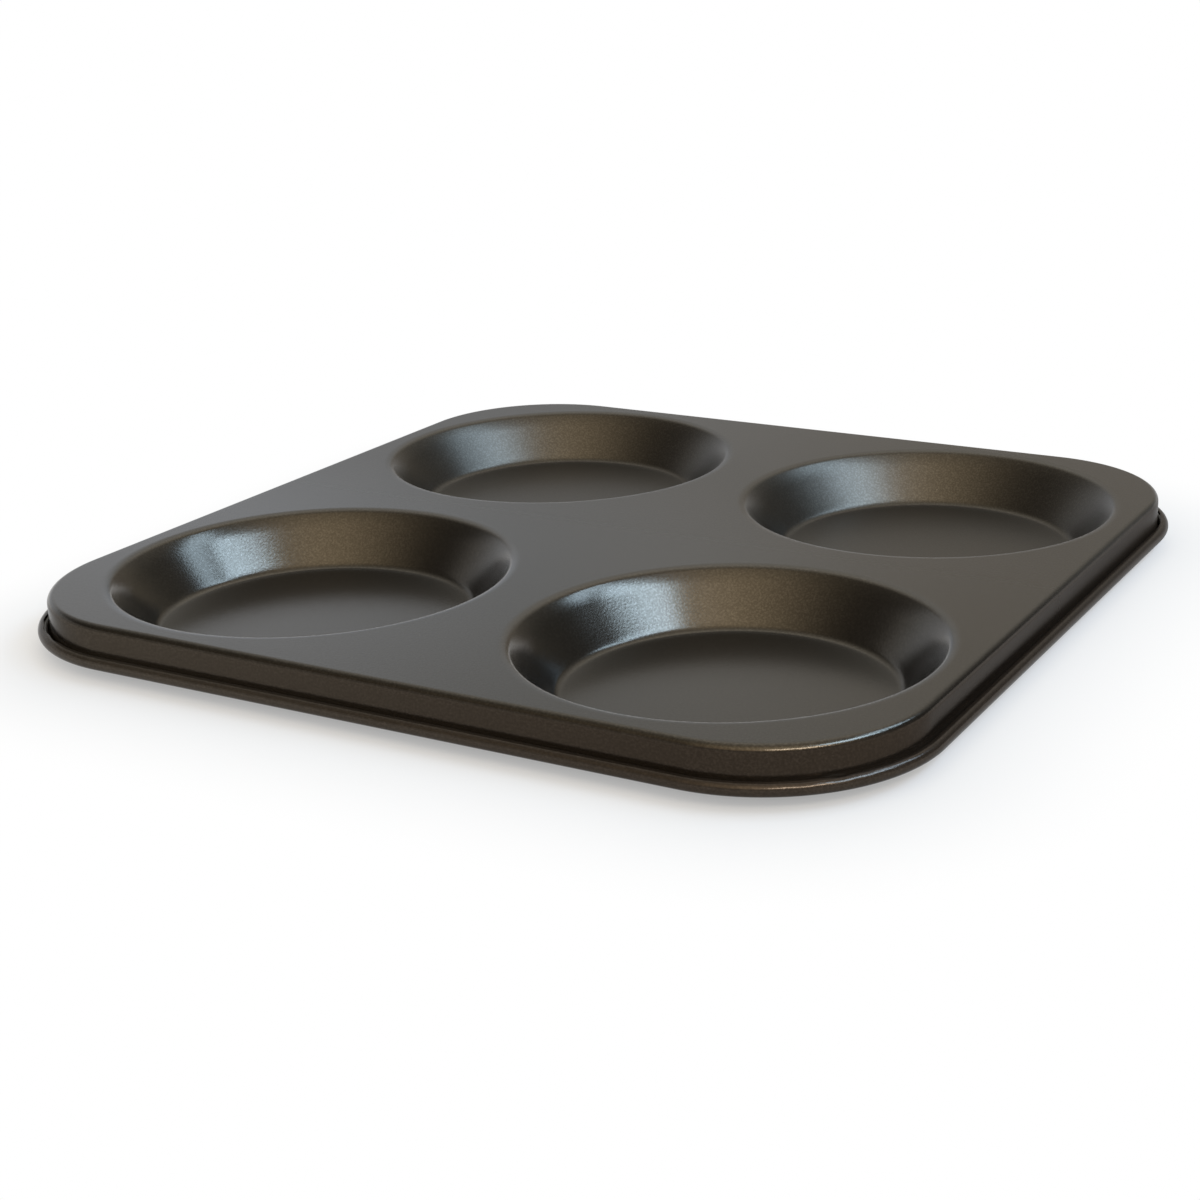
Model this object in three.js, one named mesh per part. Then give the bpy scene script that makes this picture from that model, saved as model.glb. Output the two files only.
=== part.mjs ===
// A yorkshire pudding tray: one sheet of coated steel pressed into flared cups and a turned-down
// skirt, with its rim rolled up round a stiffening wire. Millimetres, +Z up. The origin lies on the
// table, under the middle of the tray, which stands on the floors of its cups.

import * as THREE from "three";
import { mergeVertices } from "three/addons/utils/BufferGeometryUtils.js";

// Driving dimensions: the sheet and its cups. Radii are those of the upper side.
const SHEET_THICKNESS = 0.5;
const CUPS_ALONG_X = 2;
const CUPS_ALONG_Y = 2;
const CUP_MOUTH_DIAMETER = 100; // where the line of the wall meets the deck
const CUP_FLOOR_DIAMETER = 80; // where the line of the wall meets the floor
const CUP_DEPTH = 13.5; // from the deck down to the floor
const CUP_LIP_RADIUS = 4.8;
const CUP_FLOOR_RADIUS = 1.5;
const LAND_BETWEEN_CUPS = 13.9; // flat deck between the lips of two neighbours
const LAND_TO_EDGE = 3; // flat deck between a lip and the rounded edge

// Driving dimensions: the edge, the rolled rim and its wire
const DECK_EDGE_RADIUS = 2.2;
const DECK_CORNER_RADIUS = 39; // of the skirt's outer face, seen from above
const RIM_DROP = 10.3; // from the deck down to the underside of the rim
const RIM_BEND_RADIUS = 1;
const RIM_THROAT = 0.3; // by which the roll's bore stands off the skirt
const RIM_MOUTH = 0.4; // between the sheet's raw edge and the skirt
const WIRE_DIAMETER = 1.6;
const WIRE_CLEARANCE = 0.3; // all round the wire, inside the roll
const WIRE_END_GAP = 1.5; // between the two ends of the wire, where they meet

// Facets
const CUP_SEGMENTS = 48;
const CORNER_STEPS = 10;
const LIP_STEPS = 4;
const FLOOR_STEPS = 2;
const EDGE_STEPS = 3;
const BEND_STEPS = 2;
const ROLL_STEPS = 8;
const WIRE_SIDES = 8;

// Heights above the table
const floorHeight = SHEET_THICKNESS;
const deckHeight = floorHeight + CUP_DEPTH;
const rimHeight = deckHeight - RIM_DROP;

// The cup's wall: its slope, and where its two radii leave the deck and the floor
const mouthRadius = CUP_MOUTH_DIAMETER / 2;
const floorRadius = CUP_FLOOR_DIAMETER / 2;
const wallSlope = Math.atan2(CUP_DEPTH, mouthRadius - floorRadius);
const lipRadius = mouthRadius + CUP_LIP_RADIUS * Math.tan(wallSlope / 2);
const floorFlatRadius = floorRadius - CUP_FLOOR_RADIUS * Math.tan(wallSlope / 2);

// The layout of the cups on the deck
const cupPitch = 2 * lipRadius + LAND_BETWEEN_CUPS;
const rowLengthX = (CUPS_ALONG_X - 1) * cupPitch;
const rowLengthY = (CUPS_ALONG_Y - 1) * cupPitch;
const skirtBeyondCup = lipRadius + LAND_TO_EDGE + DECK_EDGE_RADIUS;
const skirtHalfX = rowLengthX / 2 + skirtBeyondCup;
const skirtHalfY = rowLengthY / 2 + skirtBeyondCup;

// The roll of the rim: its bore holds the wire, and its centre lies outside the skirt.
const boreRadius = WIRE_DIAMETER / 2 + WIRE_CLEARANCE;
const rollRadius = boreRadius + SHEET_THICKNESS;
const rollHeight = rimHeight + rollRadius;
const rollOutset = boreRadius + RIM_THROAT;
const rollEndAngle = Math.acos((RIM_MOUTH - rollOutset) / rollRadius);
const bendRadius = Math.min(RIM_BEND_RADIUS, rollOutset);
const bendHeight = rimHeight + SHEET_THICKNESS + bendRadius;

const UP = Math.PI / 2;
const DOWN = -Math.PI / 2;

// Points along an arc of a profile, whose first axis runs outwards and whose second runs up.
function arc(outwards, height, radius, fromAngle, toAngle, steps) {
  const clockwise = toAngle < fromAngle;
  return new THREE.ArcCurve(outwards, height, radius, fromAngle, toAngle, clockwise).getPoints(steps);
}

// A cup from its floor out to the deck, at a depth below the sheet's upper side. Outwards is
// measured from the cup's own axis.
function cupProfile(depth) {
  const floorArc = arc(
    floorFlatRadius,
    floorHeight + CUP_FLOOR_RADIUS,
    CUP_FLOOR_RADIUS + depth,
    DOWN,
    DOWN + wallSlope,
    FLOOR_STEPS,
  );
  const lipArc = arc(
    lipRadius,
    deckHeight - CUP_LIP_RADIUS,
    CUP_LIP_RADIUS - depth,
    UP + wallSlope,
    UP,
    LIP_STEPS,
  );
  return [...floorArc, ...lipArc];
}

// The tray's edge from the deck down the skirt and round the roll to the raw edge, at a depth
// below the sheet's upper side. Outwards is measured from the skirt's outer face.
function edgeProfile(depth) {
  const edgeArc = arc(
    -DECK_EDGE_RADIUS,
    deckHeight - DECK_EDGE_RADIUS,
    DECK_EDGE_RADIUS - depth,
    UP,
    0,
    EDGE_STEPS,
  );
  const bendArc = arc(bendRadius, bendHeight, bendRadius + depth, Math.PI, Math.PI + UP, BEND_STEPS);
  const rollArc = arc(rollOutset, rollHeight, boreRadius + depth, DOWN, rollEndAngle, ROLL_STEPS);
  return [...edgeArc, ...bendArc, ...rollArc];
}

// The stations of the rounded rectangle round the tray, counter-clockwise from the +X side: the
// centre of the corner that each belongs to, and the direction outwards there.
function trayStations() {
  const stations = [];
  for (let corner = 0; corner < 4; corner++) {
    const signX = corner === 0 || corner === 3 ? 1 : -1;
    const signY = corner < 2 ? 1 : -1;
    const centre = new THREE.Vector2(
      signX * (skirtHalfX - DECK_CORNER_RADIUS),
      signY * (skirtHalfY - DECK_CORNER_RADIUS),
    );
    for (let step = 0; step <= CORNER_STEPS; step++) {
      const angle = (corner + step / CORNER_STEPS) * UP;
      stations.push({ centre, outwards: new THREE.Vector2(Math.cos(angle), Math.sin(angle)) });
    }
  }
  return stations;
}

// The point that stands off a station by an outset from the skirt's outer face, at a height.
function edgePoint(station, outset, height) {
  const plan = station.outwards.clone().multiplyScalar(DECK_CORNER_RADIUS + outset).add(station.centre);
  return new THREE.Vector3(plan.x, plan.y, height);
}

// A closed ring of points round the tray's edge
function edgeRing(profilePoint) {
  return trayStations().map((station) => edgePoint(station, profilePoint.x, profilePoint.y));
}

// A closed ring of points round a cup's axis
function cupRing(axis, profilePoint) {
  const ring = [];
  for (let segment = 0; segment < CUP_SEGMENTS; segment++) {
    const angle = (segment / CUP_SEGMENTS) * 2 * Math.PI;
    const x = axis.x + profilePoint.x * Math.cos(angle);
    const y = axis.y + profilePoint.x * Math.sin(angle);
    ring.push(new THREE.Vector3(x, y, profilePoint.y));
  }
  return ring;
}

// Triangles of the band between two rings. They face up where the second ring lies outside the first.
function band(first, second) {
  const corners = [];
  first.forEach((point, index) => {
    const next = (index + 1) % first.length;
    corners.push(point, second[index], second[next]);
    corners.push(point, second[next], first[next]);
  });
  return corners;
}

// Triangles of the bands between each ring and the next
function loft(rings) {
  return rings.slice(1).flatMap((ring, index) => band(rings[index], ring));
}

// Triangles of a level face inside a ring and outside its holes, facing up
function level(outline, holes) {
  const points = [outline, ...holes].flat();
  const faces = THREE.ShapeUtils.triangulateShape(outline, holes);
  return faces.flat().map((index) => points[index]);
}

// The same triangles, facing the other way
function reversed(corners) {
  return corners.map((_, index) => corners[index - (index % 3) + 2 - (index % 3)]);
}

// A closed mesh geometry from the corners of its triangles
function closedGeometry(corners) {
  const geometry = mergeVertices(new THREE.BufferGeometry().setFromPoints(corners));
  geometry.computeVertexNormals();
  return geometry;
}

// The axes of the cups, row by row
function cupAxes() {
  const axes = [];
  for (let row = 0; row < CUPS_ALONG_Y; row++) {
    for (let column = 0; column < CUPS_ALONG_X; column++) {
      axes.push(new THREE.Vector2(column * cupPitch - rowLengthX / 2, row * cupPitch - rowLengthY / 2));
    }
  }
  return axes;
}

// One side of the sheet, at a depth below its upper side: the cups, the deck between them and the
// edge. It also gives the ring where the sheet ends.
function sheetSide(depth) {
  const cups = cupAxes().map((axis) => cupProfile(depth).map((point) => cupRing(axis, point)));
  const edge = edgeProfile(depth).map(edgeRing);
  const floors = cups.flatMap((rings) => level(rings[0], []));
  const walls = cups.flatMap(loft);
  const deck = level(
    edge[0],
    cups.map((rings) => rings.at(-1)),
  );
  return { corners: [...floors, ...walls, ...deck, ...loft(edge)], rawEdge: edge.at(-1) };
}

// The pressed sheet: its upper side, its under side and the raw edge that joins them.
function traySheet() {
  const upper = sheetSide(0);
  const under = sheetSide(SHEET_THICKNESS);
  const rawEdge = band(upper.rawEdge, under.rawEdge);
  return closedGeometry([...upper.corners, ...rawEdge, ...reversed(under.corners)]);
}

// The rim's wire: a round section carried round the tray from one end to the other. The ends face
// each other in the middle of the back edge.
function rimWire() {
  const section = arc(rollOutset, rollHeight, WIRE_DIAMETER / 2, 0, 2 * Math.PI, WIRE_SIDES).slice(0, -1);
  const backCentreY = skirtHalfY - DECK_CORNER_RADIUS;
  const backwards = new THREE.Vector2(0, 1);
  const start = { centre: new THREE.Vector2(-WIRE_END_GAP / 2, backCentreY), outwards: backwards };
  const end = { centre: new THREE.Vector2(WIRE_END_GAP / 2, backCentreY), outwards: backwards };
  const stations = trayStations();
  const firstCorner = stations.slice(0, CORNER_STEPS + 1);
  const otherCorners = stations.slice(CORNER_STEPS + 1);
  const rings = [start, ...otherCorners, ...firstCorner, end].map((station) =>
    section.map((point) => edgePoint(station, point.x, point.y)),
  );
  const face = THREE.ShapeUtils.triangulateShape(section, []).flat();
  const startFace = face.map((index) => rings[0][index]);
  const endFace = face.map((index) => rings.at(-1)[index]);
  return closedGeometry([...startFace, ...loft(rings), ...reversed(endFace)]);
}

const coatedSteel = new THREE.MeshStandardMaterial({ color: 0x4b4642, roughness: 0.45, metalness: 0.5 });
const drawnSteel = new THREE.MeshStandardMaterial({ color: 0x85837f, roughness: 0.4, metalness: 1 });

const tray = new THREE.Group();

const sheet = new THREE.Mesh(traySheet(), coatedSteel);
sheet.name = "tray_sheet";
tray.add(sheet);

const wire = new THREE.Mesh(rimWire(), drawnSteel);
wire.name = "rim_wire";
tray.add(wire);

export default tray;
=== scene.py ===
import math

import bmesh
import bpy
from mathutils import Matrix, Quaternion, Vector, noise


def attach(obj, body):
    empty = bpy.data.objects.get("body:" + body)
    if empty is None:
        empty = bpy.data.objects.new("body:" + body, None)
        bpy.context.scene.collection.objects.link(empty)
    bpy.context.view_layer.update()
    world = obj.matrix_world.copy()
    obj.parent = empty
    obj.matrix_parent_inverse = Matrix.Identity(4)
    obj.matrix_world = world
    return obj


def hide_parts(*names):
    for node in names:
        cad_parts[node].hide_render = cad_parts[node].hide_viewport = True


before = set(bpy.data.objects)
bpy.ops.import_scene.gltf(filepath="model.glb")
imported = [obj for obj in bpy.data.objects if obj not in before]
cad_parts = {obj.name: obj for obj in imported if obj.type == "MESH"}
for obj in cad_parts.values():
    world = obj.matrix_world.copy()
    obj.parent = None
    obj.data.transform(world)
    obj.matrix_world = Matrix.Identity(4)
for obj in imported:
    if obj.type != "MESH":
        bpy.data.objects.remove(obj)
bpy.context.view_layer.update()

# Pressed sheet: one blank of 0.5 mm steel, drawn in one press into four flared cups and a skirt that
# is turned down all round. The sheet's edge is rolled outwards and up round a wire, and both of its
# sides carry the same baked non-stick coating.
MM = 0.001
SHEET_THICKNESS = 0.5 * MM
DECK_HEIGHT = 14 * MM
FLAT_BESIDE_ROUNDING = 0.4 * MM
MERGE_DISTANCE = 0.001 * MM
ON_SURFACE = 0.01 * MM


def draw_line(mesh, start, outwards, height, pieces=1):
    """Draws a straight part of a profile from a vertex, in equal pieces, and gives its last vertex."""
    step = (Vector((outwards, 0, height)) - start.co) / pieces
    drawn = bmesh.ops.spin(
        mesh, geom=[start], cent=(0, 0, 0), axis=(0, 0, 1), dvec=step, angle=0, steps=pieces
    )
    return drawn["geom_last"][0]


def draw_arc(mesh, start, outwards, height, turn, pieces):
    """Draws an arc of a profile from a vertex round a centre, and gives its last vertex."""
    drawn = bmesh.ops.spin(
        mesh, geom=[start], cent=(outwards, 0, height), axis=(0, -1, 0), angle=turn, steps=pieces
    )
    return drawn["geom_last"][0]


# One cup, turned from its profile: floor, small rounding, sloping wall, lip, strip of deck. The deck
# rolls gently towards the cup, then the lip turns down tightly and runs out into the wall, as drawn
# metal does.
CUP_CENTRE = 59.368 * MM
CUP_DEPTH = 13.5 * MM
CUP_MOUTH_RADIUS = 50 * MM
CUP_FLOOR_RADIUS = 40 * MM
FLOOR_ROUNDING = 2.8 * MM
LIP_ROLL_RADIUS = 8 * MM
LIP_ROLL_SLOPE = math.radians(13)
LIP_TURN_RADIUS = 2.2 * MM
LIP_TURN_SLOPE = math.radians(45)
LIP_RUNOUT_RADIUS = 26 * MM
CUP_STEPS = 144

wall_slope = math.atan2(CUP_DEPTH, CUP_MOUTH_RADIUS - CUP_FLOOR_RADIUS)
floor_height = DECK_HEIGHT - CUP_DEPTH
floor_flat_radius = CUP_FLOOR_RADIUS - FLOOR_ROUNDING * math.tan(wall_slope / 2)
lip_bends = (
    (LIP_ROLL_RADIUS, 0, LIP_ROLL_SLOPE),
    (LIP_TURN_RADIUS, LIP_ROLL_SLOPE, LIP_TURN_SLOPE),
    (LIP_RUNOUT_RADIUS, LIP_TURN_SLOPE, wall_slope),
)
lip_fall = sum(radius * (math.cos(begin) - math.cos(end)) for radius, begin, end in lip_bends)
lip_reach = sum(radius * (math.sin(end) - math.sin(begin)) for radius, begin, end in lip_bends)
wall_top_radius = CUP_MOUTH_RADIUS - lip_fall / math.tan(wall_slope)
wall_top_height = DECK_HEIGHT - lip_fall
lip_radius = wall_top_radius + lip_reach
runout_outwards = wall_top_radius + LIP_RUNOUT_RADIUS * math.sin(wall_slope)
runout_height = wall_top_height - LIP_RUNOUT_RADIUS * math.cos(wall_slope)
turn_outwards = runout_outwards - (LIP_RUNOUT_RADIUS - LIP_TURN_RADIUS) * math.sin(LIP_TURN_SLOPE)
turn_height = runout_height + (LIP_RUNOUT_RADIUS - LIP_TURN_RADIUS) * math.cos(LIP_TURN_SLOPE)

sheet = bmesh.new()
pen = sheet.verts.new((0, 0, floor_height))
pen = draw_line(sheet, pen, floor_flat_radius - FLAT_BESIDE_ROUNDING, floor_height, pieces=12)
pen = draw_line(sheet, pen, floor_flat_radius, floor_height)
pen = draw_arc(sheet, pen, floor_flat_radius, floor_height + FLOOR_ROUNDING, wall_slope, pieces=6)
pen = draw_line(sheet, pen, wall_top_radius, wall_top_height, pieces=10)
pen = draw_arc(sheet, pen, runout_outwards, runout_height, LIP_TURN_SLOPE - wall_slope, pieces=5)
pen = draw_arc(sheet, pen, turn_outwards, turn_height, LIP_ROLL_SLOPE - LIP_TURN_SLOPE, pieces=9)
pen = draw_arc(sheet, pen, lip_radius, DECK_HEIGHT - LIP_ROLL_RADIUS, -LIP_ROLL_SLOPE, pieces=6)
draw_line(sheet, pen, lip_radius + FLAT_BESIDE_ROUNDING, DECK_HEIGHT)
bmesh.ops.spin(
    sheet,
    geom=sheet.verts[:] + sheet.edges[:],
    cent=(0, 0, 0),
    axis=(0, 0, 1),
    angle=2 * math.pi,
    steps=CUP_STEPS,
    use_merge=True,
)
bmesh.ops.remove_doubles(sheet, verts=sheet.verts[:], dist=MERGE_DISTANCE)
bmesh.ops.translate(sheet, verts=sheet.verts[:], vec=(-CUP_CENTRE, -CUP_CENTRE, 0))
for step_to_next in ((2 * CUP_CENTRE, 0, 0), (0, 2 * CUP_CENTRE, 0)):
    copied = bmesh.ops.duplicate(sheet, geom=sheet.verts[:] + sheet.edges[:] + sheet.faces[:])
    copied_verts = [part for part in copied["geom"] if isinstance(part, bmesh.types.BMVert)]
    bmesh.ops.translate(sheet, verts=copied_verts, vec=step_to_next)

# The edge, carried round the tray from its profile: strip of deck, rounded edge, skirt, bend, roll.
SKIRT_HALF_WIDTH = 116.96 * MM
SKIRT_CORNER_RADIUS = 39 * MM
CORNER_CENTRE = SKIRT_HALF_WIDTH - SKIRT_CORNER_RADIUS
EDGE_ROUNDING = 1.8 * MM
RIM_HEIGHT = 3.7 * MM
BEND_ROUNDING = 1 * MM
ROLL_BORE_RADIUS = 1.1 * MM
ROLL_OUTSET = 1.4 * MM
ROLL_HEIGHT = RIM_HEIGHT + SHEET_THICKNESS + ROLL_BORE_RADIUS
ROLL_TURN = math.radians(218.7)
CORNER_STEPS = 40
SIDE_STEPS = 40

edge = bmesh.new()
pen = edge.verts.new((-EDGE_ROUNDING - FLAT_BESIDE_ROUNDING, 0, DECK_HEIGHT))
pen = draw_line(edge, pen, -EDGE_ROUNDING, DECK_HEIGHT)
pen = draw_arc(edge, pen, -EDGE_ROUNDING, DECK_HEIGHT - EDGE_ROUNDING, -math.pi / 2, pieces=12)
pen = draw_line(edge, pen, 0, RIM_HEIGHT + SHEET_THICKNESS + BEND_ROUNDING, pieces=6)
pen = draw_arc(edge, pen, BEND_ROUNDING, pen.co.z, math.pi / 2, pieces=6)
pen = draw_line(edge, pen, ROLL_OUTSET, RIM_HEIGHT + SHEET_THICKNESS)
draw_arc(edge, pen, ROLL_OUTSET, ROLL_HEIGHT, ROLL_TURN, pieces=18)
bmesh.ops.translate(edge, verts=edge.verts[:], vec=(SKIRT_HALF_WIDTH, CORNER_CENTRE, 0))


def carry_round_tray(mesh):
    """Carries a profile that stands at the start of the first corner round the whole tray."""
    last = mesh.verts[:] + mesh.edges[:]
    side = Vector((-2 * CORNER_CENTRE, 0, 0))
    centre = Vector((CORNER_CENTRE, CORNER_CENTRE, 0))
    for _ in range(4):
        rounded = bmesh.ops.spin(
            mesh, geom=last, cent=centre, axis=(0, 0, 1), angle=math.pi / 2, steps=CORNER_STEPS
        )
        straight = bmesh.ops.spin(
            mesh,
            geom=rounded["geom_last"],
            cent=(0, 0, 0),
            axis=(0, 0, 1),
            dvec=side / SIDE_STEPS,
            angle=0,
            steps=SIDE_STEPS,
        )
        last = straight["geom_last"]
        centre += side
        side = Vector((-side.y, side.x, 0))
    bmesh.ops.remove_doubles(mesh, verts=mesh.verts[:], dist=MERGE_DISTANCE)


carry_round_tray(edge)

# Round the corners the roll stays more open than along the sides, and its raw edge is puckered.
CORNER_OPENING = math.radians(34)
PUCKER_TURN = math.radians(40)
PUCKER_LENGTH = 5 * MM

for vert in edge.verts:
    nearest_centre = Vector((
        max(-CORNER_CENTRE, min(CORNER_CENTRE, vert.co.x)),
        max(-CORNER_CENTRE, min(CORNER_CENTRE, vert.co.y)),
        0,
    ))
    outwards = Vector((vert.co.x, vert.co.y, 0)) - nearest_centre
    from_roll = outwards.length - SKIRT_CORNER_RADIUS - ROLL_OUTSET
    below_roll = ROLL_HEIGHT - vert.co.z
    if abs(math.hypot(from_roll, below_roll) - ROLL_BORE_RADIUS) > ON_SURFACE:
        continue
    outwards.normalize()
    rolled = math.atan2(from_roll, below_roll)
    if rolled < -math.pi / 2:
        rolled += 2 * math.pi
    pucker = noise.noise((nearest_centre + outwards * SKIRT_CORNER_RADIUS) / PUCKER_LENGTH)
    roundness = abs(2 * outwards.x * outwards.y)
    rolled += roundness * (PUCKER_TURN * pucker - CORNER_OPENING) * rolled / ROLL_TURN
    outset = ROLL_OUTSET + ROLL_BORE_RADIUS * math.sin(rolled)
    vert.co = nearest_centre + outwards * (SKIRT_CORNER_RADIUS + outset)
    vert.co.z = ROLL_HEIGHT - ROLL_BORE_RADIUS * math.cos(rolled)

edge_mesh = bpy.data.meshes.new("edge_shape")
edge.to_mesh(edge_mesh)
edge.free()
sheet.from_mesh(edge_mesh)
bpy.data.meshes.remove(edge_mesh)

# The flat deck between the edge and the four cups, and then the thickness of the whole sheet
deck_rims = [
    rim for rim in sheet.edges
    if rim.is_boundary and all(abs(vert.co.z - DECK_HEIGHT) < ON_SURFACE for vert in rim.verts)
]
bmesh.ops.triangle_fill(sheet, edges=deck_rims, use_beauty=True, normal=(0, 0, 1))
bmesh.ops.recalc_face_normals(sheet, faces=sheet.faces[:])
if max(sheet.faces, key=lambda face: face.calc_area()).normal.z < 0:
    bmesh.ops.reverse_faces(sheet, faces=sheet.faces[:])
bmesh.ops.solidify(sheet, geom=sheet.faces[:], thickness=SHEET_THICKNESS)

SHARP_ANGLE = math.radians(40)


def finish_piece(mesh, name):
    """Makes an object of a finished bmesh, smooth but for its sharp edges."""
    data = bpy.data.meshes.new(name)
    mesh.to_mesh(data)
    mesh.free()
    data.shade_smooth()
    data.set_sharp_from_angle(angle=SHARP_ANGLE)
    piece = bpy.data.objects.new(name, data)
    bpy.context.scene.collection.objects.link(piece)
    return piece


pressed_sheet = finish_piece(sheet, "pressed_sheet")


def linear(hex_colour):
    """Turns an sRGB hex colour into the linear colour that a shader takes."""
    channels = [int(hex_colour[i:i + 2], 16) / 255 for i in (1, 3, 5)]
    return [c / 12.92 if c <= 0.04045 else ((c + 0.055) / 1.055) ** 2.4 for c in channels] + [1]


def add_node(tree, kind, sockets=None, **settings):
    """Adds a node with its settings, and links or sets its sockets by name or number."""
    node = tree.nodes.new("ShaderNode" + kind)
    for name, value in settings.items():
        setattr(node, name, value)
    for socket, value in (sockets or {}).items():
        if isinstance(value, bpy.types.NodeSocket):
            tree.links.new(value, node.inputs[socket])
        else:
            node.inputs[socket].default_value = value
    return node


def new_material(name):
    """Makes a material, and gives it with its node tree, its shader and the object's coordinates."""
    material = bpy.data.materials.new(name)
    material.use_nodes = True
    tree = material.node_tree
    place = add_node(tree, "TexCoord").outputs["Object"]
    return material, tree, tree.nodes["Principled BSDF"], place


def add_clouds(tree, place, size, detail):
    """Gives a soft cloudy pattern with patches of a real size."""
    pattern = add_node(tree, "TexNoise", {"Vector": place, "Scale": 1 / size, "Detail": detail})
    return pattern.outputs["Fac"]


def calculate(tree, operation, first, second):
    """Gives the result of one calculation on two numbers."""
    return add_node(tree, "Math", {0: first, 1: second}, operation=operation).outputs[0]


def map_range(tree, value, begin, end, results=(0, 1), interpolation="LINEAR"):
    """Takes a value that runs from begin to end on to a range of results, and no further."""
    sockets = {
        "Value": value,
        "From Min": begin,
        "From Max": end,
        "To Min": results[0],
        "To Max": results[1],
    }
    return add_node(tree, "MapRange", sockets, interpolation_type=interpolation).outputs["Result"]


def mix_colours(tree, share, colours, blend_type="MIX"):
    """Mixes two colours by a share. Each is a hex colour or comes from another node."""
    first, second = [linear(colour) if isinstance(colour, str) else colour for colour in colours]
    sockets = {0: share, 6: first, 7: second}
    return add_node(tree, "Mix", sockets, data_type="RGBA", blend_type=blend_type).outputs[2]


def beside_tray(tree, place):
    """Gives the distance outwards from the centres of the corners, the same all round the outline."""
    centre = (CORNER_CENTRE, CORNER_CENTRE, 0)
    level = add_node(tree, "VectorMath", {0: place, 1: (1, 1, 0)}, operation="MULTIPLY")
    quarter = add_node(tree, "VectorMath", {0: level.outputs[0]}, operation="ABSOLUTE")
    offset = add_node(tree, "VectorMath", {0: quarter.outputs[0], 1: centre}, operation="SUBTRACT")
    beyond = add_node(tree, "VectorMath", {0: offset.outputs[0], 1: (0, 0, 0)}, operation="MAXIMUM")
    return add_node(tree, "VectorMath", {0: beyond.outputs[0]}, operation="LENGTH").outputs["Value"]


# Baked non-stick coating with a fine mica flake, sprayed on and cured: a very dark warm brown with a
# satin gloss. Flake and orange peel give it a fine grain, drawn a little coarser than the real one so
# that it shows, and here and there a paler speck. It is glossier at the front of the tray than at its
# back. On the skirt the colour is darkened as painted shade, more to the right, and its reflection seen
# from the side is dimmed as painted shade. The coat goes dull in the groove over the roll and on the
# roll.
BINDER_TONES = ("#3a362f", "#403b34")
DRIFT_SIZE = 25 * MM
FLAKE_COLOUR = "#57524a"
FLAKE_SIZE = 0.5 * MM
FLAKE_BEGINS = 0.42
FLAKE_FULL = 0.72
FLAKE_SHARE = 0.45
SPECK_COLOUR = "#625d55"
SPECK_SPACING = 8 * MM
SPECK_RADIUS = 0.16 * MM
ORANGE_PEEL_SIZE = 0.6 * MM
ORANGE_PEEL_HEIGHT = 0.018 * MM
# Painted shade: the skirt's colour is multiplied darker, more to the right, for the shaded floor it
# mirrors.
SKIRT_SHADE_TINTS = ("#fff7f2", "#d8cac2")  # left, right
# Painted shade: the skirt's reflection seen from the side is dimmed, for the shaded floor it mirrors.
SKIRT_REFLECTION_DIMMING = ("#ffffff", "#cbcbcb")  # deck, skirt
GROOVE_TOP = 8.4 * MM
GROOVE_FOOT = 6.9 * MM
METAL_SHARES = (0.96, 0.7)  # elsewhere, groove and roll
ROUGHNESSES = (0.2, 0.34)  # front, back

coating, coat_tree, coat_shader, coat_place = new_material("baked_nonstick_coating")
coat_axes = add_node(coat_tree, "SeparateXYZ", {0: coat_place}).outputs
drift = add_clouds(coat_tree, coat_place, DRIFT_SIZE, detail=2.0)
binder = mix_colours(coat_tree, drift, BINDER_TONES)
flake = add_clouds(coat_tree, coat_place, FLAKE_SIZE, detail=2.0)
flake_share = map_range(coat_tree, flake, FLAKE_BEGINS, FLAKE_FULL, results=(0, FLAKE_SHARE))
flaked = mix_colours(coat_tree, flake_share, (binder, FLAKE_COLOUR))
speck = add_node(coat_tree, "TexVoronoi", {"Vector": coat_place, "Scale": 1 / SPECK_SPACING})
in_speck = calculate(
    coat_tree, "LESS_THAN", speck.outputs["Distance"], SPECK_RADIUS / SPECK_SPACING
)
specked = mix_colours(coat_tree, in_speck, (flaked, SPECK_COLOUR))
on_skirt = map_range(
    coat_tree,
    beside_tray(coat_tree, coat_place),
    SKIRT_CORNER_RADIUS - EDGE_ROUNDING / 4,
    SKIRT_CORNER_RADIUS,
)
rightwards = map_range(coat_tree, coat_axes["X"], -CORNER_CENTRE, CORNER_CENTRE)
# Painted shade: darkens the skirt's colour, more to the right.
painted_skirt_shade = mix_colours(coat_tree, rightwards, SKIRT_SHADE_TINTS)
shaded_base_colour = mix_colours(coat_tree, on_skirt, (specked, painted_skirt_shade), blend_type="MULTIPLY")
# Painted shade: dims the skirt's reflection.
dimmed_skirt_reflection = mix_colours(coat_tree, on_skirt, SKIRT_REFLECTION_DIMMING)
in_groove = map_range(coat_tree, coat_axes["Z"], GROOVE_TOP, GROOVE_FOOT)
dull = calculate(coat_tree, "MULTIPLY", on_skirt, in_groove)
metal_share = map_range(coat_tree, dull, 0, 1, results=METAL_SHARES)
roughness = map_range(
    coat_tree,
    coat_axes["Y"],
    -CUP_CENTRE,
    CUP_CENTRE,
    results=ROUGHNESSES,
    interpolation="SMOOTHSTEP",
)
peel = add_clouds(coat_tree, coat_place, ORANGE_PEEL_SIZE, detail=1.0)
relief = add_node(
    coat_tree, "Bump", {"Height": peel, "Strength": 1.0, "Distance": ORANGE_PEEL_HEIGHT}
)
coat_tree.links.new(shaded_base_colour, coat_shader.inputs["Base Color"])
coat_tree.links.new(dimmed_skirt_reflection, coat_shader.inputs["Specular Tint"])
coat_tree.links.new(metal_share, coat_shader.inputs["Metallic"])
coat_tree.links.new(roughness, coat_shader.inputs["Roughness"])
coat_tree.links.new(relief.outputs["Normal"], coat_shader.inputs["Normal"])

pressed_sheet.data.materials.append(coating)
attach(pressed_sheet, "root")
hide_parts("tray_sheet")

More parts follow.
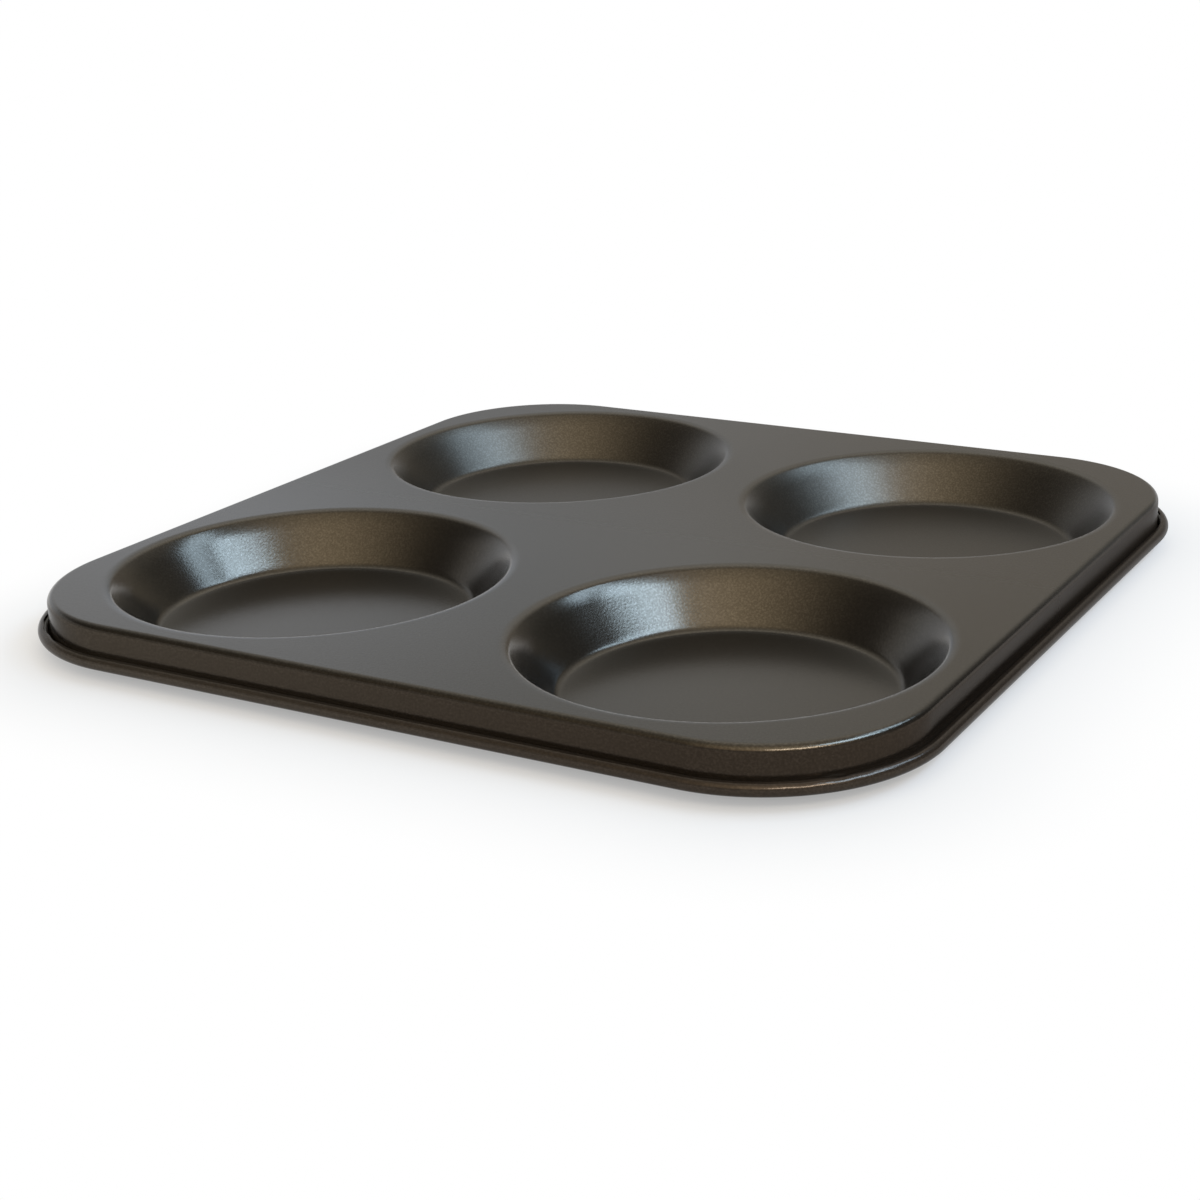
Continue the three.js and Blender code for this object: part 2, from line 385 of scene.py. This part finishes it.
# Rim wire: one length of 1.6 mm drawn steel wire, bent to the rim's outline and held by the roll.
# Its two ends face each other, with a small gap, in the middle of the back edge.
WIRE_RADIUS = 0.8 * MM
WIRE_END_GAP = 1.5 * MM
WIRE_SIDES = 16

wire = bmesh.new()
section = bmesh.ops.create_circle(wire, radius=WIRE_RADIUS, segments=WIRE_SIDES)["verts"]
upright = Quaternion((1, 0, 0), math.pi / 2).to_matrix()
bmesh.ops.rotate(wire, verts=section, cent=(0, 0, 0), matrix=upright)
bmesh.ops.translate(
    wire, verts=section, vec=(SKIRT_HALF_WIDTH + ROLL_OUTSET, CORNER_CENTRE, ROLL_HEIGHT)
)
carry_round_tray(wire)


def is_near_gap(vert):
    """Tells whether a vertex of the wire lies towards the middle of the back edge."""
    return vert.co.y > CORNER_CENTRE and abs(vert.co.x) < CORNER_CENTRE / 2


for wire_end in (WIRE_END_GAP / 2, -WIRE_END_GAP / 2):
    near_gap = [vert for vert in wire.verts if is_near_gap(vert)]
    near_gap += [part for part in wire.edges[:] + wire.faces[:] if all(map(is_near_gap, part.verts))]
    bmesh.ops.bisect_plane(wire, geom=near_gap, plane_co=(wire_end, 0, 0), plane_no=(1, 0, 0))
in_gap = [
    face for face in wire.faces
    if face.calc_center_median().y > CORNER_CENTRE and abs(face.calc_center_median().x) < WIRE_END_GAP / 2
]
bmesh.ops.delete(wire, geom=in_gap, context="FACES")
bmesh.ops.holes_fill(wire, edges=[rim for rim in wire.edges if rim.is_boundary], sides=0)
bmesh.ops.recalc_face_normals(wire, faces=wire.faces[:])
drawn_wire = finish_piece(wire, "drawn_wire")

# Drawn steel, left as it came from the die: grey metal, dulled and darkened in patches by baking.
STEEL_TONES = ("#4a4844", "#77746e")
STEEL_ROUGHNESSES = (0.6, 0.35)
DULLING_SIZE = 4 * MM

wire_steel, steel_tree, steel_shader, steel_place = new_material("drawn_steel")
dulling = add_clouds(steel_tree, steel_place, DULLING_SIZE, detail=3.0)
steel_tone = mix_colours(steel_tree, dulling, STEEL_TONES)
steel_roughness = map_range(steel_tree, dulling, 0, 1, results=STEEL_ROUGHNESSES)
steel_tree.links.new(steel_tone, steel_shader.inputs["Base Color"])
steel_tree.links.new(steel_roughness, steel_shader.inputs["Roughness"])
steel_shader.inputs["Metallic"].default_value = 1.0

drawn_wire.data.materials.append(wire_steel)
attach(drawn_wire, "root")
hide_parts("rim_wire")

# Floor: a large sheet of matt pale paper. Under and close to the tray it is lit as paper is and takes
# the tray's shadow, and further out it goes over into plain white. Its far edges are turned up, so
# that the white goes on over the horizon. Distances from the skirt count outwards.
FLOOR_HALF_WIDTH = 8.0
PAPER_RISE = 1.0
FLOOR_GAP = 0.02 * MM
PAPER_COLOUR = "#b4b3b1"
WHITE_BEGINS = -40 * MM
WHITE_FULL = 45 * MM

paper = bmesh.new()
bmesh.ops.create_grid(paper, x_segments=2, y_segments=2, size=FLOOR_HALF_WIDTH)
bmesh.ops.translate(paper, verts=paper.verts[:], vec=(0, 0, -FLOOR_GAP))
paper_rims = [rim for rim in paper.edges if rim.is_boundary]
turned_up = bmesh.ops.extrude_edge_only(paper, edges=paper_rims)["geom"]
raised_verts = [part for part in turned_up if isinstance(part, bmesh.types.BMVert)]
bmesh.ops.translate(paper, verts=raised_verts, vec=(0, 0, PAPER_RISE))
floor = finish_piece(paper, "paper_floor")

pale_paper, paper_tree, paper_shader, paper_place = new_material("matt_pale_paper")
paper_shader.inputs["Base Color"].default_value = linear(PAPER_COLOUR)
paper_shader.inputs["Roughness"].default_value = 0.9
paper_shader.inputs["Specular IOR Level"].default_value = 0.2
rays = add_node(paper_tree, "LightPath").outputs
seen_or_mirrored = calculate(paper_tree, "MAXIMUM", rays["Is Camera Ray"], rays["Is Glossy Ray"])
in_sight = calculate(paper_tree, "MAXIMUM", seen_or_mirrored, rays["Is Transmission Ray"])
far_out = map_range(
    paper_tree,
    beside_tray(paper_tree, paper_place),
    SKIRT_CORNER_RADIUS + WHITE_BEGINS,
    SKIRT_CORNER_RADIUS + WHITE_FULL,
    interpolation="SMOOTHSTEP",
)
whiteness = calculate(paper_tree, "MULTIPLY", in_sight, far_out)
white = add_node(paper_tree, "Emission", {"Color": linear("#ffffff"), "Strength": 1.0})
paper_look = add_node(
    paper_tree,
    "MixShader",
    {0: whiteness, 1: paper_shader.outputs["BSDF"], 2: white.outputs["Emission"]},
)
paper_tree.links.new(
    paper_look.outputs["Shader"], paper_tree.nodes["Material Output"].inputs["Surface"]
)
floor.data.materials.append(pale_paper)

# Window light: two soft panes of cool daylight side by side, high on the right of the tray, and a
# white one, a little lower, over its front corner. Angles are in degrees, sizes in metres.
PANE_DISTANCE = 1.6
DAYLIGHT = "#b6d9ff"
LAMP_WHITE = "#fffaf3"


def towards(azimuth, elevation):
    """Gives the direction from the tray at an azimuth from +X and an elevation, in degrees."""
    across, up = math.radians(azimuth), math.radians(elevation)
    return Vector((math.cos(up) * math.cos(across), math.cos(up) * math.sin(across), math.sin(up)))


for name, azimuth, elevation, width, height, power, colour in (
    ("near_pane", 2.7, 48.7, 0.963, 0.362, 19.2, DAYLIGHT),
    ("far_pane", 42.9, 47.8, 0.354, 0.569, 6.7, DAYLIGHT),
    ("corner_pane", -42, 37, 0.82, 0.224, 10.3, LAMP_WHITE),
):
    lamp = bpy.data.lights.new(name, "AREA")
    lamp.shape = "RECTANGLE"
    lamp.size = width
    lamp.size_y = height
    lamp.energy = power
    lamp.color = linear(colour)[:3]
    pane = bpy.data.objects.new(name, lamp)
    pane.location = towards(azimuth, elevation) * PANE_DISTANCE
    pane.rotation_euler = towards(azimuth, elevation).to_track_quat("Z", "Y").to_euler()
    bpy.context.scene.collection.objects.link(pane)

# Room: pale walls, dimmer and warmer behind the tray's right corner, under a dim ceiling. A broad warm
# glow lies on the ceiling over the camera, and a fainter one stands over the wall behind the tray. Walls
# are given by azimuth, and a glow by azimuth, elevation, falloff, colour and strength.
WALL_TONES = (
    (-180, "#d8d8d9"),
    (0, "#ceccc9"),
    (55, "#5e5c5a"),
    (75, "#67645d"),
    (95, "#938875"),
    (105, "#6b5a43"),
    (112, "#7a6e5f"),
    (118, "#a3a4a6"),
    (124, "#9ca4af"),
    (131, "#cdd4e0"),
    (142, "#d1d4da"),
    (160, "#edf3fb"),
    (180, "#d8d8d9"),
)
WALL_TOP = 23.8
WALL_TOP_SOFTNESS = 4
CEILING_TONE = "#605c59"
CEILING_GLOW = (-59.3, 42.5, 3.6, "#ffefd2", 2.28)
FAR_GLOW = (113, 56, 6.5, "#fffef7", 1.5)

world = bpy.data.worlds.new("soft_room")
world.use_nodes = True
bpy.context.scene.world = world
room_tree = world.node_tree
direction = add_node(room_tree, "TexCoord").outputs["Generated"]
room_axes = add_node(room_tree, "SeparateXYZ", {0: direction}).outputs
compass = calculate(room_tree, "ARCTAN2", room_axes["Y"], room_axes["X"])
walls = add_node(room_tree, "ValToRGB", {0: map_range(room_tree, compass, -math.pi, math.pi)})
stops = walls.color_ramp.elements
for degrees, _ in WALL_TONES[1:-1]:
    stops.new((degrees + 180) / 360)
for stop, (_, wall_tone) in zip(stops, WALL_TONES):
    stop.color = linear(wall_tone)
above_wall = map_range(
    room_tree,
    room_axes["Z"],
    math.sin(math.radians(WALL_TOP - WALL_TOP_SOFTNESS)),
    math.sin(math.radians(WALL_TOP + WALL_TOP_SOFTNESS)),
    interpolation="SMOOTHSTEP",
)


def add_glow(tree, light, azimuth, elevation, falloff, colour, strength):
    """Adds a soft glow round a direction to a light of the room, and gives their sum."""
    middle = towards(azimuth, elevation)
    facing = add_node(tree, "VectorMath", {0: direction, 1: middle}, operation="DOT_PRODUCT")
    in_front = calculate(tree, "MAXIMUM", facing.outputs["Value"], 0.0)
    faded = calculate(tree, "POWER", in_front, falloff)
    brightness = calculate(tree, "MULTIPLY", faded, strength)
    glow = add_node(
        tree, "VectorMath", {0: linear(colour)[:3], "Scale": brightness}, operation="SCALE"
    )
    return add_node(tree, "VectorMath", {0: light, 1: glow.outputs[0]}, operation="ADD").outputs[0]


ceiling = add_glow(room_tree, linear(CEILING_TONE)[:3], *CEILING_GLOW)
room = mix_colours(room_tree, above_wall, (walls.outputs["Color"], ceiling))
room_light = add_glow(room_tree, room, *FAR_GLOW)
room_tree.links.new(room_light, room_tree.nodes["Background"].inputs["Color"])

# Camera: at the photograph's viewing angle, front right of the tray and about 20 degrees above it.
CAMERA_AZIMUTH = math.radians(29.035)
CAMERA_ELEVATION = math.radians(19.267)
CAMERA_ROLL = math.radians(-1.442)
CAMERA_DISTANCE = 493.85 * MM
CAMERA_TARGET = Vector((38.545, -42.374, 14.0)) * MM
CAMERA_LENS = 62.016
CAMERA_SHIFT = -0.07

lens = bpy.data.cameras.new("camera")
lens.sensor_width = 36
lens.lens = CAMERA_LENS
lens.shift_x = CAMERA_SHIFT
lens.clip_start = 0.01
camera = bpy.data.objects.new("camera", lens)
backwards = Vector((
    math.sin(CAMERA_AZIMUTH) * math.cos(CAMERA_ELEVATION),
    -math.cos(CAMERA_AZIMUTH) * math.cos(CAMERA_ELEVATION),
    math.sin(CAMERA_ELEVATION),
))
camera.location = CAMERA_TARGET + backwards * CAMERA_DISTANCE
camera_turn = backwards.to_track_quat("Z", "Y") @ Quaternion((0, 0, 1), CAMERA_ROLL)
camera.rotation_euler = camera_turn.to_euler()
bpy.context.scene.collection.objects.link(camera)
bpy.context.scene.camera = camera
bpy.context.scene.view_settings.view_transform = "Standard"
